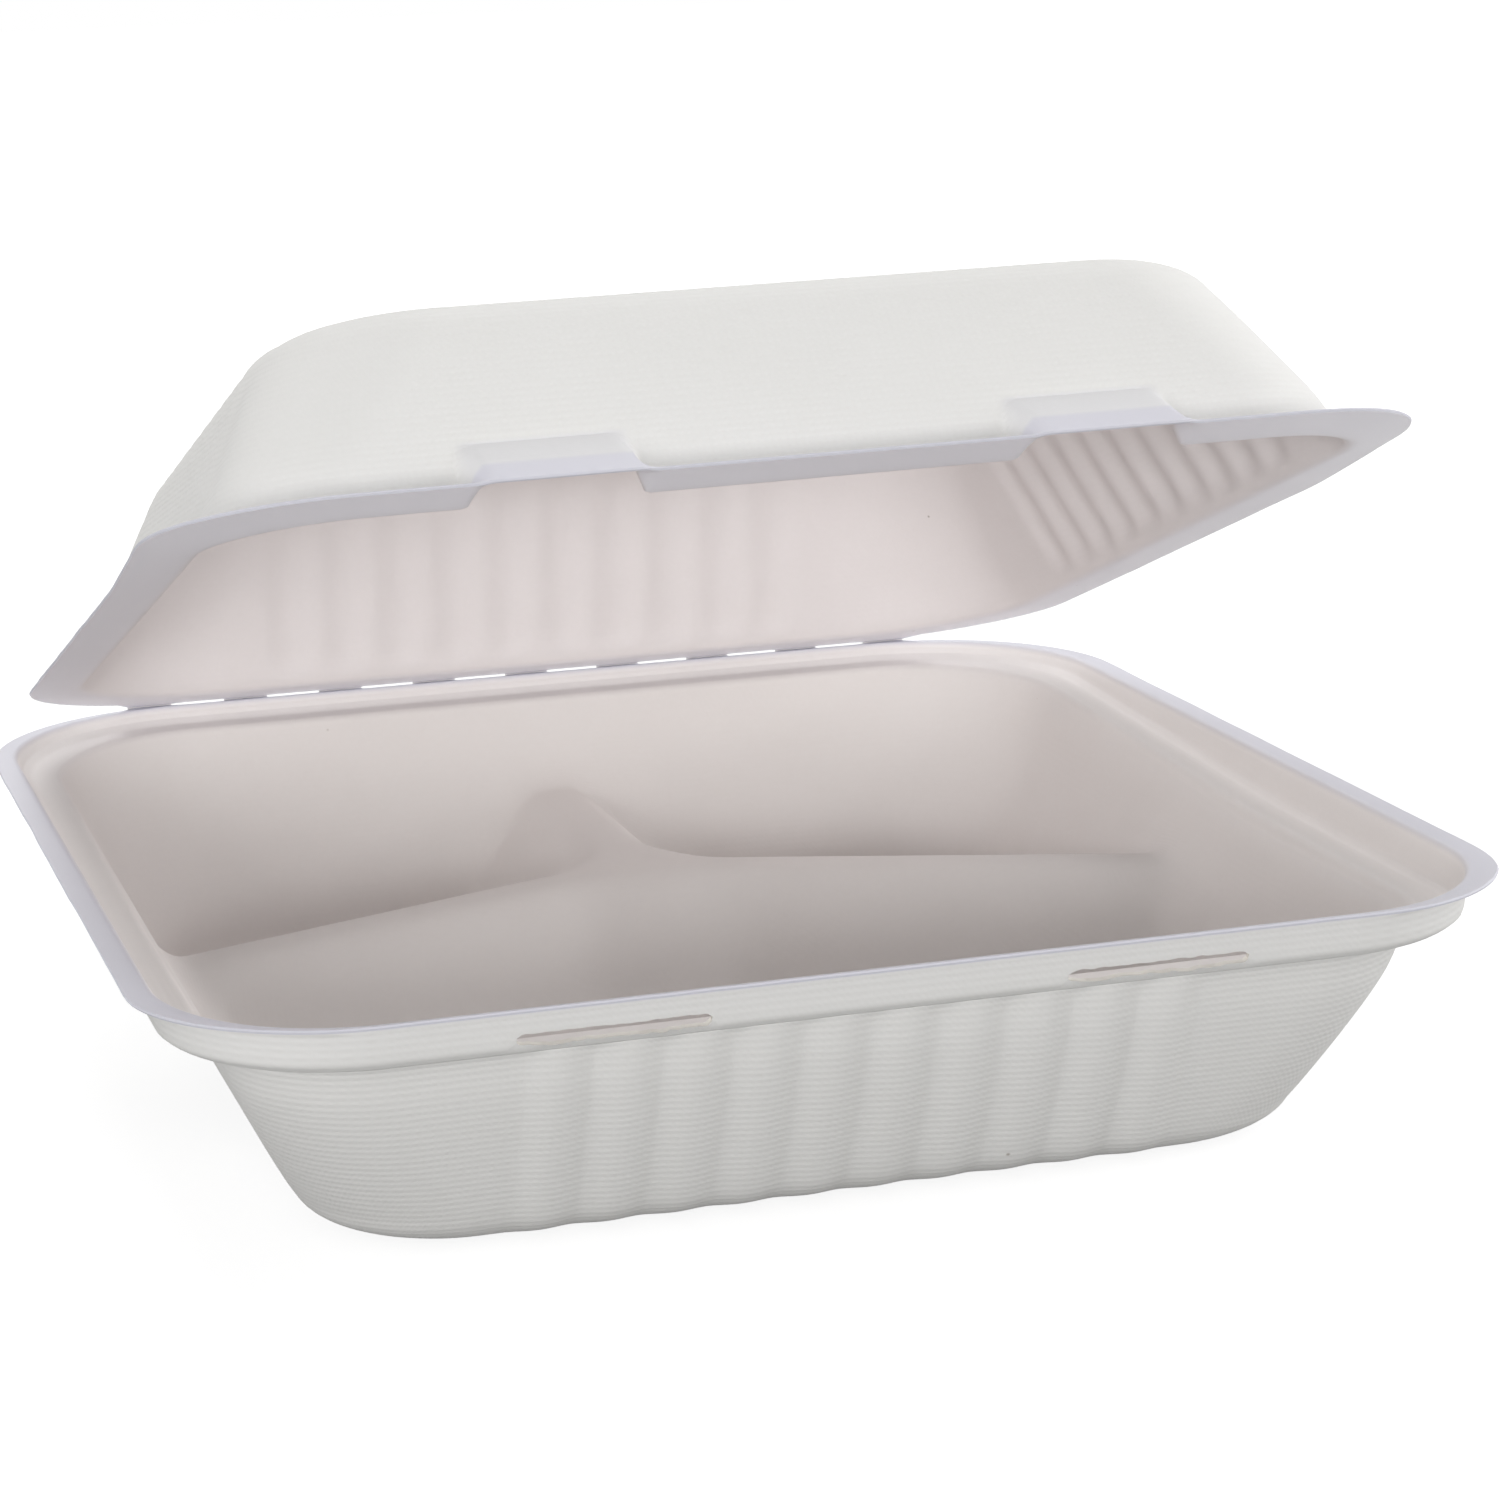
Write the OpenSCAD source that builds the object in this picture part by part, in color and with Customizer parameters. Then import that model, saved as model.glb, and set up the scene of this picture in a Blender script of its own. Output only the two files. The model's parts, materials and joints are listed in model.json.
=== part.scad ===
// Three-compartment meal box moulded from sugarcane pulp, lid standing ajar on its hinge.
// The origin is the centre of the underside of the floor. +Z is up and the hinge is at +Y.
// Both shells are lofted: a profile of rounded-rectangle rings gives the food side of the sheet,
// and the same profile moved outwards by the sheet's thickness gives the outer side.

/* [Sheet] */
// Thickness of the moulded sheet
sheet_t = 0.9; // [0.7:0.05:1.2]

/* [Tray] */
// Width of the tray over the rim
tray_w = 230; // [222:1:240]
// Depth of the tray from the front of the rim to the hinge line
tray_d = 236; // [228:1:246]
// Height of the tray from the table to the top of the rim
tray_h = 47.5; // [44:0.5:50]
// Radius of the front corners of the rim
rim_r = 33; // [31:0.5:36]
// Radius of the corners of the rim at the hinge
rim_r_back = 39; // [36:0.5:42]
// Width of the flat rim at the front and the sides
rim_w = 3.4; // [2.8:0.1:4]
// Depth of the ledge below the rim at the front
ledge_front = 7.6; // [7.2:0.1:8.4]
// Depth of the ledge below the rim at the hinge
ledge_back = 3.4; // [2.8:0.1:4]
// Width of the ledge that the lid sits on
ledge_w = 4; // [3.4:0.1:4.6]
// Angle of the tray walls from the vertical
tray_draft = 25; // [20:1:28]
// Radius between the tray walls and the floor
tray_foot_r = 12; // [9:0.5:14]
// Corner radius of the floor
floor_r = 19; // [15:0.5:22]

/* [Dividers] */
// Height of the divider crests above the table
crest_h = 27; // [22:0.5:29]
// Radius over the divider crests
crest_r = 7; // [4:0.5:8]
// Rise of the divider sides for each millimetre across
divider_slope = 1.5; // [1.2:0.1:1.8]
// Height over which a divider rounds into the floor
blend_r = 8; // [5:0.5:9]
// Height over which a divider flares into a wall
flare_r = 18; // [10:0.5:20]
// Width over which two dividers round into each other, seen from above
fork_r = 10; // [4:0.5:12]
// Distance of the three-way crossing behind the middle of the tray
crossing_y = 35.5; // [30:0.5:42]
// Distance of the divider ends on the side walls in front of the middle
arm_end_y = 8; // [0:1:14]

/* [Flutes] */
// Number of flutes on each fluted wall
flutes = 10; // [8:1:11]
// Pitch of the flutes on the front of the tray and the back of the lid
flute_pitch = 11.4; // [10:0.1:11.8]
// Pitch of the flutes on the sides of the lid
side_pitch = 12; // [10:0.1:12.4]
// Distance of the middle of the side flutes in front of the middle of the lid
side_shift = 8.5; // [0:0.5:12]
// Depth of the flutes
flute_depth = 2; // [1:0.1:2.4]

/* [Lid] */
// Distance of each side of the lid from the side of the tray
lid_side_gap = 8; // [7:0.5:10]
// Distance of the front of the lid from the front of the tray
lid_front_gap = 7; // [6:0.5:10]
// Height of the lid dome above its flange
lid_h = 37; // [30:0.5:39]
// Radius of the front corners of the lid flange, less than that of the rim by this much
lid_r_less = 3; // [1:0.5:5]
// Width of the lid flange
flange_w = 9.5; // [8:0.5:11]
// Rise of the front edge of the lid flange above the rest of it
lip_rise = 2.1; // [0:0.1:2.5]
// Angle of the lid walls from the vertical
lid_draft = 26; // [20:1:28]
// Radius between the lid walls and its top
lid_top_r = 13; // [9:0.5:14]
// Corner radius of the lid top
top_r = 19; // [15:0.5:22]

/* [Catch] */
// Distance of each slot from the middle of the front
slot_x = 44.8; // [40:0.1:50]
// Length of each slot
slot_len = 31; // [26:0.5:34]
// Height of each slot
slot_h = 1.9; // [1.4:0.1:2.4]
// Depth of the slot centres below the rim
slot_z = 5.6; // [5:0.1:6]
// Reach of the lid tongues past the flange
tongue_reach = 1.2; // [0.6:0.1:1.4]
// Height of the pockets that form the tongues
pocket_h = 10.5; // [8:0.5:12]

/* [Hinge] */
// Number of cuts along the hinge
hinge_cuts = 8; // [6:1:10]
// Length of each cut
cut_len = 11; // [8:0.5:12]
// Length of the fold past the start of each corner of the rim
fold_past = 7.6; // [4:0.2:9]
// Radius of the fold line
fold_r = 0.45; // [0.35:0.05:0.6]
// Clearance between the fold and the lid
fold_gap = 0.1; // [0.05:0.01:0.2]
// Opening of the lid from level
lid_open = 19.2; // [0:0.2:90]

/* [Hidden] */

pulp = [0.87, 0.87, 0.84];
edge_gap = 0.9;          // half the gap that a cut leaves between tray and lid
lid_r_back_less = 1;     // the lid's corners at the hinge are this much sharper than the rim's
lid_lift = 0.05;         // the closed flange passes this far over the rim at the hinge
web_lift = 0.15;         // and the webs of the fold this far
corner_steps = 4;        // facets of a corner
flute_steps = 4;         // facets of a flute
fillet_steps = 3;        // facets of a fillet
corner_gap = 0.5;        // the stations of a wall end this far before its corners
FRONT = 0; SIDE = 1; BACK = 2; CORNER = 3;
half_w = tray_w / 2;
half_d = tray_d / 2;
hinge_z = tray_h + lid_lift;

// The lid lies inside the collar, so its size follows the tray's
lid_w = tray_w - 2 * lid_side_gap;
lid_d = tray_d - lid_front_gap;
lid_r = rim_r - lid_r_less;
lid_r_back = rim_r_back - lid_r_back_less;

// The cuts and the webs between them share out the fold, which starts and ends with a web
cut_pitch = (tray_w - 2 * (rim_r_back - fold_past) + cut_len) / (hinge_cuts + 1);
web_len = cut_pitch - cut_len;
web_x = [for (i = [0 : hinge_cuts]) (i - hinge_cuts / 2) * cut_pitch];

// Insets and depths down the wall of the collar, from the flat rim to the ledge
bend = 1.3;              // the rim bends down over this width
collar_lean = 0.9;       // the collar leans in by this much
collar_foot = 1.6;       // the collar turns into the ledge over this width
back_rim = 0.5;          // flat rim at the hinge
ledge_in = rim_w + bend + collar_lean + collar_foot;
ledge_in_back = edge_gap + back_rim + 0.6 + 0.6 + collar_foot;
ledge_turn = 2;          // the ledge rolls over into the wall over this width
ledge_level = 20;        // the ledge is level up to this far in front of the middle
radius_step = 15;        // the corners of a fillet lose 1 mm of radius for each of these degrees

// Smallest and largest value with a rounded change over a width k
function smooth_max(a, b, k) =
    let (h = max(k - abs(a - b), 0) / k) max(a, b) + h * h * k / 4;

// Depth of the ledge below the rim: level at the front, rising towards the hinge
function ledge_at(y) =
    let (u = min(max((y + ledge_level) / (half_d + ledge_level - ledge_in), 0), 1))
    ledge_front + (ledge_back - ledge_front) * u;

// Height of a divider ridge at a distance from its crest line
function ridge(d, top, r, slope) = top - slope * (sqrt(d * d + r * r) - r);

// Distance of a point from a straight crest line
function segment_distance(p, a, b) =
    let (v = b - a, u = min(max(((p - a) * v) / (v * v), 0), 1)) norm(p - a - u * v);

// The crests run from the crossing to the two side walls and to the back wall
crossing = [0, crossing_y];
arm_ends = [[-half_w, -arm_end_y], [half_w, -arm_end_y], [0, half_d]];

// Height of the dividers over a point; a lower skin has its crest one sheet down
function divider_z(p, drop) =
    let (gaps = [for (e = arm_ends) segment_distance(p, crossing, e)],
         gap = -smooth_max(smooth_max(-gaps[0], -gaps[1], fork_r), -gaps[2], fork_r))
    ridge(max(gap, 0), crest_h - drop, crest_r - drop / 2, divider_slope);

// Height of the sheet where dividers grow out of a floor or wall of height z. The blend is
// widest at the crests and narrows towards the top of the wall, so the ledge stays level.
flare_in = 0.6;          // growth of the blend for each millimetre up the wall
flare_out = 2;           // and its loss for each millimetre below the ledge
function grown_z(z, p, drop) =
    let (k = min(flare_r, blend_r + flare_in * max(z - sheet_t, 0), max(flare_out * (wall_top_z - z), 1)))
    smooth_max(z, divider_z(p, drop), k);

function reversed(list) = [for (i = [len(list) - 1 : -1 : 0]) list[i]];

// Splits every step of a list of stations into n steps
function split(list, n) = concat(
    [for (i = [0 : len(list) - 2], k = [0 : n - 1])
        list[i] + (list[i + 1] - list[i]) * k / n],
    [list[len(list) - 1]]);

// Stations as pairs of place and name, moved closer where they would run past lo or hi
function fit(list, lo, hi) =
    let (first = list[0], last = list[len(list) - 1], from = max(first, lo), to = min(last, hi))
    [for (v = list) [from + (v - first) * (to - from) / (last - first), v]];

// A rounded rectangle through stations on its four sides: a and -a are its sides, f and b
// its front and back, r and rb the radii of its corners there. A point is [x, y, wall, station].
function ring(a, f, b, r, rb, front, side, back) =
    let (turn = [for (i = [0 : corner_steps]) [sin(90 * i / corner_steps), cos(90 * i / corner_steps)]],
         along_front = fit(front, r - a + corner_gap, a - r - corner_gap),
         along_side = fit(side, f + r + corner_gap, b - rb - corner_gap),
         along_back = fit(back, rb - a + corner_gap, a - rb - corner_gap))
    concat(
        [for (s = along_front) [s[0], f, FRONT, s[1]]],
        [for (t = turn) [a - r + r * t[0], f + r - r * t[1], CORNER, 0]],
        [for (s = along_side) [a, s[0], SIDE, s[1]]],
        [for (t = turn) [a - rb + rb * t[1], b - rb + rb * t[0], CORNER, 0]],
        [for (s = reversed(along_back)) [s[0], b, BACK, s[1]]],
        [for (t = turn) [rb - a - rb * t[0], b - rb + rb * t[1], CORNER, 0]],
        [for (s = reversed(along_side)) [-a, s[0], SIDE, s[1]]],
        [for (t = turn) [r - a - r * t[1], f + r - r * t[0], CORNER, 0]]);

// Where the stations of a plain ring lie in a ring whose sides are split for flutes
function station_map(counts, splits) =
    let (starts = [for (i = 0, s = 0; i < len(counts); s = s + (counts[i] - 1) * splits[i] + 1, i = i + 1) s])
    [for (i = [0 : len(counts) - 1], k = [0 : counts[i] - 1]) starts[i] + k * splits[i]];

// Triangles between two rings whose points match one to one. The flip picks the other
// diagonal, so that the outer skin has the same facets as the inner one.
function plain_strip(s, t, n, flip) = [
    for (j = [0 : n - 1]) let (k = (j + 1) % n)
        each flip ? [[s + j, s + k, t + j], [s + k, t + k, t + j]]
            : [[s + j, s + k, t + k], [s + j, t + k, t + j]]];

// Triangles between a fluted ring of m points at s and a plain ring of n points at t
function fan_strip(s, m, t, n, map, flip) = [
    for (j = [0 : n - 1])
        let (k = (j + 1) % n, p = map[j], q = k == 0 ? m : map[k], mid = floor((p + q) / 2))
        for (f = concat(
                [for (i = [p : 1 : mid - 1]) [s + i, s + (i + 1) % m, t + j]],
                [[s + mid, t + k, t + j]],
                [for (i = [mid : 1 : q - 1]) [s + i, s + (i + 1) % m, t + k]]))
            flip ? reversed(f) : f];

// Closes a list of rings into one solid: the first and the last ring are capped by a fan
module loft(rings, first, last, map) {
    n = len(map);
    starts = [for (i = 0, s = 0; i < len(rings); s = s + len(rings[i]), i = i + 1) s];
    total = starts[len(rings) - 1] + len(rings[len(rings) - 1]);
    strips = [
        for (i = [0 : len(rings) - 2])
            let (m = len(rings[i]), k = len(rings[i + 1]))
            each (m == k ? plain_strip(starts[i], starts[i + 1], m, 2 * i >= len(rings) - 1)
                : m > k ? fan_strip(starts[i], m, starts[i + 1], n, map, false)
                : fan_strip(starts[i + 1], k, starts[i], n, map, true))];
    caps = concat(
        [for (j = [0 : n - 1]) [total, (j + 1) % n, j]],
        [for (j = [0 : n - 1])
            [total + 1, starts[len(rings) - 1] + j, starts[len(rings) - 1] + (j + 1) % n]]);
    polyhedron(points = concat([for (r = rings) each r], [first, last]),
               faces = concat(strips, caps), convexity = 10);
}

// Bulge of a fluted wall at a distance along it, between nothing and one
function flute(u, pitch) =
    let (half = flutes * pitch / 2) abs(u) > half ? 0 : (1 - cos(360 * (u + half) / pitch)) / 2;

// Stations at the edges of the flutes along a wall
function flute_edges(pitch) = [for (i = [0 : flutes]) (i - flutes / 2) * pitch];

// A profile row is [side inset, front inset, back inset, depth, share of the ledge depth,
// corner radius, share of the flutes]. The outer skin is the row moved by the sheet's
// thickness square to the profile, as seen at the front.
function row_point(row) = [row[1], -row[3] - row[4] * ledge_front];
function outer_row(rows, i, t) =
    let (a = row_point(rows[max(i - 1, 0)]), b = row_point(rows[min(i + 1, len(rows) - 1)]),
         v = (b - a) / norm(b - a), d = [v[1], -v[0]] * t, row = rows[i])
    [row[0] + d[0], row[1] + d[0], row[2] + d[0], row[3] - d[1], row[4], row[5] - d[0], row[6]];

// Tray

// Insets of the fillet between a wall and the floor, for a wall that starts at inset i
// and depth d: the angle a runs from the draft angle at the wall to 90 at the floor
tray_floor = tray_h - sheet_t;
function foot_inset(i, d, a) =
    let (r = tray_foot_r - sheet_t)
    i + (tray_floor - r + r * sin(tray_draft) - d) * tan(tray_draft)
        + r * cos(tray_draft) - r * cos(a);
function foot_depth(a) = let (r = tray_foot_r - sheet_t) tray_floor - r + r * sin(a);

wall_in = ledge_in + ledge_w + ledge_turn;
wall_in_back = ledge_in_back + ledge_w + ledge_turn;
wall_drop = 1.8;         // the wall starts this far below the ledge
wall_top_z = tray_h - ledge_front - wall_drop;
wall_top = [ledge_at(0), ledge_front, ledge_back] + [wall_drop, wall_drop, wall_drop];

function wall_row(depth, radius, share) =
    [wall_in + (depth - wall_top[0]) * tan(tray_draft),
     wall_in + (depth - wall_top[1]) * tan(tray_draft),
     wall_in_back + (depth - wall_top[2]) * tan(tray_draft), depth, 0, radius, share];
function foot_row(a, share) =
    [foot_inset(wall_in, wall_top[0], a), foot_inset(wall_in, wall_top[1], a),
     foot_inset(wall_in_back, wall_top[2], a), foot_depth(a), 0,
     floor_r + (90 - a) / radius_step, share];

// The corners at the hinge are rounder than the front ones, less so towards the floor
function back_more(depth) = (rim_r_back - rim_r) * (1 - max(depth, 0) / tray_h);

flute_top = 15;          // depth at which the flutes of the tray are full
tray_rows = concat(
    [[0, 0, edge_gap, 0, 0, rim_r, 0],
     [rim_w, rim_w, edge_gap + back_rim, 0, 0, rim_r - 1.5, 0],
     [rim_w + 0.7 * bend, rim_w + 0.7 * bend, edge_gap + back_rim + 0.3, 0.4, 0, rim_r - 2.2, 0],
     [rim_w + bend, rim_w + bend, edge_gap + back_rim + 0.6, 1.3, 0, rim_r - 2.7, 0],
     [ledge_in - collar_foot, ledge_in - collar_foot, ledge_in_back - collar_foot, -1, 1, rim_r - 3.5, 0],
     [ledge_in + 0.2, ledge_in + 0.2, ledge_in_back + 0.2, 0, 1, rim_r - 4.5, 0],
     [ledge_in + ledge_w, ledge_in + ledge_w, ledge_in_back + ledge_w, 0, 1, rim_r - 7, 0],
     [wall_in - 0.8, wall_in - 0.8, wall_in_back - 0.8, 0.5, 1, rim_r - 8, 0],
     [wall_in, wall_in, wall_in_back, wall_drop, 1, rim_r - 8.6, 0]],
    [wall_row(flute_top, rim_r - 11, 1)],
    [for (i = [0 : fillet_steps])
        foot_row(tray_draft + (90 - tray_draft) * i / fillet_steps, [1, 1, 0.8, 0][i])]);

tray_front = flute_edges(flute_pitch);
tray_side = [for (s = [-38, -24, -15, -9, -4, 0, 4, 9, 15, 26, 42]) s - arm_end_y];
tray_back = [-52, -34, -20, -12, -6, 0, 6, 12, 20, 34, 52];
tray_counts = [len(tray_front), corner_steps + 1, len(tray_side), corner_steps + 1,
               len(tray_back), corner_steps + 1, len(tray_side), corner_steps + 1];
tray_map = station_map(tray_counts, [flute_steps, 1, 1, 1, 1, 1, 1, 1]);

// One ring of the tray; drop is 0 on the food side and the sheet's thickness outside
function tray_ring(row, drop, dividers) =
    let (front = row[6] > 0 ? split(tray_front, flute_steps) : tray_front)
    [for (p = ring(half_w - row[0], row[1] - half_d, half_d - row[2], row[5], row[5] + back_more(row[3]),
                   front, tray_side, tray_back))
        let (bulge = p[2] == FRONT ? flute_depth * row[6] * flute(p[3], flute_pitch) : 0,
             z = tray_h - row[3] - row[4] * ledge_at(p[1]))
        [p[0], p[1] - bulge, dividers ? grown_z(z, p, drop) : z]];

// Rings of the floor close in on the crossing, so that the crests lie on their points
floor_shares = [0.9, 0.77, 0.62, 0.45, 0.295, 0.14];
function floor_ring(foot, share, drop) =
    [for (q = foot)
        let (p = crossing + share * ([q[0], q[1]] - crossing))
        [p[0], p[1], grown_z(sheet_t - drop, p, drop)]];

module tray_shell() {
    upper = [for (i = [0 : len(tray_rows) - 1]) tray_ring(tray_rows[i], 0, i > 7)];
    outer = [for (i = [0 : len(tray_rows) - 1]) outer_row(tray_rows, i, sheet_t)];
    lower = [for (i = [0 : len(outer) - 1]) tray_ring(outer[i], sheet_t, i > 7)];
    foot_up = upper[len(upper) - 1];
    foot_low = lower[len(lower) - 1];
    loft(concat(
            [for (s = reversed(floor_shares)) floor_ring(foot_up, s, 0)], reversed(upper),
            lower, [for (s = floor_shares) floor_ring(foot_low, s, sheet_t)]),
         [crossing[0], crossing[1], floor_ring([crossing], 1, 0)[0][2]],
         [crossing[0], crossing[1], floor_ring([crossing], 1, sheet_t)[0][2]], tray_map);
}

// A slot through the collar, with round ends
module catch_slot() {
    rotate([90, 0, 0])
        linear_extrude(3 * ledge_in, center = true)
            for (s = [-1, 1]) {
                translate([s * (slot_len - slot_h) / 2, 0])
                    circle(d = slot_h, $fn = 24);
                square([slot_len - slot_h, slot_h], center = true);
            }
}

module base_tray() {
    color(pulp) {
        difference() {
            tray_shell();
            for (s = [-1, 1])
                translate([s * slot_x, -half_d, tray_h - slot_z])
                    catch_slot();
        }
        for (x = web_x) {
            translate([x, half_d, hinge_z])
                rotate([0, 90, 0])
                    cylinder(r = fold_r, h = web_len, center = true, $fn = 24);
            translate([x - web_len / 2, half_d - edge_gap - back_rim, tray_h - 0.7 * sheet_t])
                cube([web_len, edge_gap + back_rim - 0.1, 0.7 * sheet_t - 0.02]);
        }
    }
}

// Lid, drawn level with its hinge line on the X axis

flange_turn_r = 3;       // radius between the flange and the wall of the dome
flange_turn = 1.4;       // the turn starts this far before the inner edge of the flange
function lid_turn(g) = [flange_w - flange_turn + flange_turn_r * sin(g), flange_turn_r * (1 - cos(g))];
lid_inner = lid_h - sheet_t;
lid_turn_end = 90 - lid_draft;
function lid_top_inset(a) =
    let (r = lid_top_r - sheet_t, w = lid_turn(lid_turn_end))
    w[0] + (lid_inner - r + r * sin(lid_draft) - w[1]) * tan(lid_draft) + r * cos(lid_draft) - r * cos(a);
function lid_top_height(a) = let (r = lid_top_r - sheet_t) lid_inner - r + r * sin(a);

// A lid row is [inset, height, corner radius, share of the flutes]
lid_flute_low = 6;       // height at which the flutes of the lid are full
lid_rows = concat(
    [[0, 0, lid_r, 0]],
    [for (i = [0 : 2]) let (w = lid_turn(lid_turn_end * i / 2)) [w[0], w[1], lid_r - 5 - i, 0]],
    [for (z = [lid_flute_low, pocket_h])
        let (w = lid_turn(lid_turn_end))
        [w[0] + (z - w[1]) * tan(lid_draft), z, lid_r - 8 - z / 6, 1]],
    [for (i = [0 : fillet_steps])
        let (a = lid_draft + (90 - lid_draft) * i / fillet_steps)
        [lid_top_inset(a), lid_top_height(a), top_r + (90 - a) / radius_step, [1, 1, 0.6, 0][i]]]);
function lid_outer_row(i) =
    let (a = lid_rows[max(i - 1, 0)], b = lid_rows[min(i + 1, len(lid_rows) - 1)],
         v = [b[0] - a[0], b[1] - a[1]], u = v / norm(v), row = lid_rows[i])
    [row[0] - u[1] * sheet_t, row[1] + u[0] * sheet_t, row[2] + u[1] * sheet_t, row[3]];

pocket_len = 26;         // length of a tongue's lip
pocket_side = 3;         // its ends run out over this length
pocket_steps = [-1, 0, 1];
lid_front = concat(
    [for (s = pocket_steps) -slot_x - pocket_len / 2 + s * pocket_side / 2],
    [-slot_x],
    [for (s = pocket_steps) -slot_x + pocket_len / 2 + s * pocket_side / 2],
    [-12, 12],
    [for (s = pocket_steps) slot_x - pocket_len / 2 + s * pocket_side / 2],
    [slot_x],
    [for (s = pocket_steps) slot_x + pocket_len / 2 + s * pocket_side / 2]);
lid_back = flute_edges(flute_pitch);
lid_side_mid = -lid_d / 2 - side_shift;
lid_side = [for (u = flute_edges(side_pitch)) u + lid_side_mid];
lid_counts = [len(lid_front), corner_steps + 1, len(lid_side), corner_steps + 1,
              len(lid_back), corner_steps + 1, len(lid_side), corner_steps + 1];
lid_map = station_map(lid_counts, [1, 1, flute_steps, 1, flute_steps, 1, flute_steps, 1]);

function ease(u) = let (c = min(max(u, 0), 1)) c * c * (3 - 2 * c);

// How much of a pocket stands at x, between nothing and one
function pocket(x) =
    ease((pocket_len / 2 + pocket_side / 2 - abs(abs(x) - slot_x)) / pocket_side);

// A pocket is a straight face from its lip to the wall. Each of its rings stands at the share
// of the way that the ring has come along the flange and the wall beside the pocket.
pocket_row = 5;
pocket_travel = [for (i = 0, s = 0; i <= pocket_row;
    s = s + (i < pocket_row ? norm([for (k = [0, 1]) lid_rows[i + 1][k] - lid_rows[i][k]]) : 0), i = i + 1) s];
pocket_lip = [-tongue_reach, lip_rise];
pocket_end = [lid_rows[pocket_row][0], lid_rows[pocket_row][1]];
pocket_out = let (v = (pocket_end - pocket_lip) / norm(pocket_end - pocket_lip)) [-v[1], v[0]] * sheet_t;
function pocket_point(i, outside) =
    pocket_lip + pocket_travel[i] / pocket_travel[pocket_row] * (pocket_end - pocket_lip)
        + outside * pocket_out;

// The flange tilts up to its front edge, from rise_from of the lid's depth to its front corners
rise_from = 0.7;
rise_over = 0.24;
function rise_at(p, row) =
    lip_rise * max(1 - max(row[0], 0) / flange_w, 0) * ease((-p[1] / lid_d - rise_from) / rise_over);

function lid_ring(i, row, outside) =
    let (n = row[3] > 0 ? flute_steps : 1,
         a = lid_w / 2 - row[0], f = row[0] - lid_d, b = -edge_gap - row[0],
         rb = row[2] + (lid_r_back - lid_r) * (1 - row[1] / lid_h))
    [for (p = ring(a, f, b, row[2], rb, lid_front, split(lid_side, n), split(lid_back, n)))
        let (across = flute_depth * row[3],
             dx = p[2] == SIDE ? sign(p[0]) * across * flute(p[3] - lid_side_mid, side_pitch) : 0,
             dy = p[2] == BACK ? across * flute(p[3], flute_pitch) : 0,
             share = p[2] == FRONT && i <= pocket_row ? pocket(p[3]) : 0,
             face = share > 0 ? pocket_point(i, outside) : [0, 0],
             z = row[1] + rise_at(p, row))
        [p[0] + dx, (p[1] + dy) * (1 - share) + (face[0] - lid_d) * share,
         z * (1 - share) + face[1] * share + lid_lift]];

module lid_shell() {
    inner = [for (i = [0 : len(lid_rows) - 1]) lid_ring(i, lid_rows[i], 0)];
    outer = [for (i = [0 : len(lid_rows) - 1]) lid_ring(i, lid_outer_row(i), 1)];
    mid = -lid_d / 2;
    loft(concat(reversed(outer), inner), [0, mid, lid_h + lid_lift], [0, mid, lid_inner + lid_lift], lid_map);
}

module lid() {
    color(pulp)
        translate([0, half_d, hinge_z])
            rotate([-lid_open, 0, 0])
                difference() {
                    union() {
                        lid_shell();
                        for (x = web_x)
                            translate([x - web_len / 2, -edge_gap - 3, web_lift])
                                cube([web_len, edge_gap + 2.9, sheet_t + lid_lift - web_lift]);
                    }
                    for (x = web_x)
                        translate([x, 0, 0])
                            rotate([0, 90, 0])
                                cylinder(r = fold_r + fold_gap, h = web_len + 1, center = true, $fn = 24);
                }
}

base_tray();
lid();
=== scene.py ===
# %% [markdown]
# # A three-compartment sugarcane meal box
#
# The real box is one sheet of sugarcane pulp, sucked wet onto a wire screen, pressed and dried.
# A perforated fold divides it into a tray and a domed lid. This script dresses the packed
# frame: it draws both shells again as fine meshes, with torn catch slots, finger pockets,
# flutes and a bending fold, and gives the pulp its smooth food side and its screen-marked back.

# %% Load the frame
import json
import math

import bpy
import numpy as np
from mathutils import Matrix, Vector


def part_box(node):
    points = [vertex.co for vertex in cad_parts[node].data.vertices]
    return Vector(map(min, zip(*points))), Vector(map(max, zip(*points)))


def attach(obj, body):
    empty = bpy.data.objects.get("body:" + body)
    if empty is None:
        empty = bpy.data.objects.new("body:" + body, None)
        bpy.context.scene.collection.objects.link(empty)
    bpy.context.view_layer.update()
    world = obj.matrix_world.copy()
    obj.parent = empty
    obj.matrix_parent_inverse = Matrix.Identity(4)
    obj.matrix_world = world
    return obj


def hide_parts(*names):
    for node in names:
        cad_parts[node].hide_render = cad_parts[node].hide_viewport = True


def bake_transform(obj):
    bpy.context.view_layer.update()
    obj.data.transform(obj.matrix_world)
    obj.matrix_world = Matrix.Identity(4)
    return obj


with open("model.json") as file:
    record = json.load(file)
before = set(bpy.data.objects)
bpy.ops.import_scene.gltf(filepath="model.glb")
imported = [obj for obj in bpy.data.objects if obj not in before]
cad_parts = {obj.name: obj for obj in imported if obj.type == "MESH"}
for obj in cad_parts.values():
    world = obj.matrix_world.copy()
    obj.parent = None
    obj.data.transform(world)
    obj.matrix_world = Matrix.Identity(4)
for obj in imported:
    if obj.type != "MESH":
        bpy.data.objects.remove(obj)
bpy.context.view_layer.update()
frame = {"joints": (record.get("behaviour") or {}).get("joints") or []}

# %% [markdown]
# The frame fixes the driving sizes. The fold's axis is the hinge joint, the box is as wide as
# the tray node, and the rim lies a hair below the axis. All lengths below are in millimetres,
# because a maker of pulp moulds thinks in them, and they turn into metres only at the end.

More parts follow.
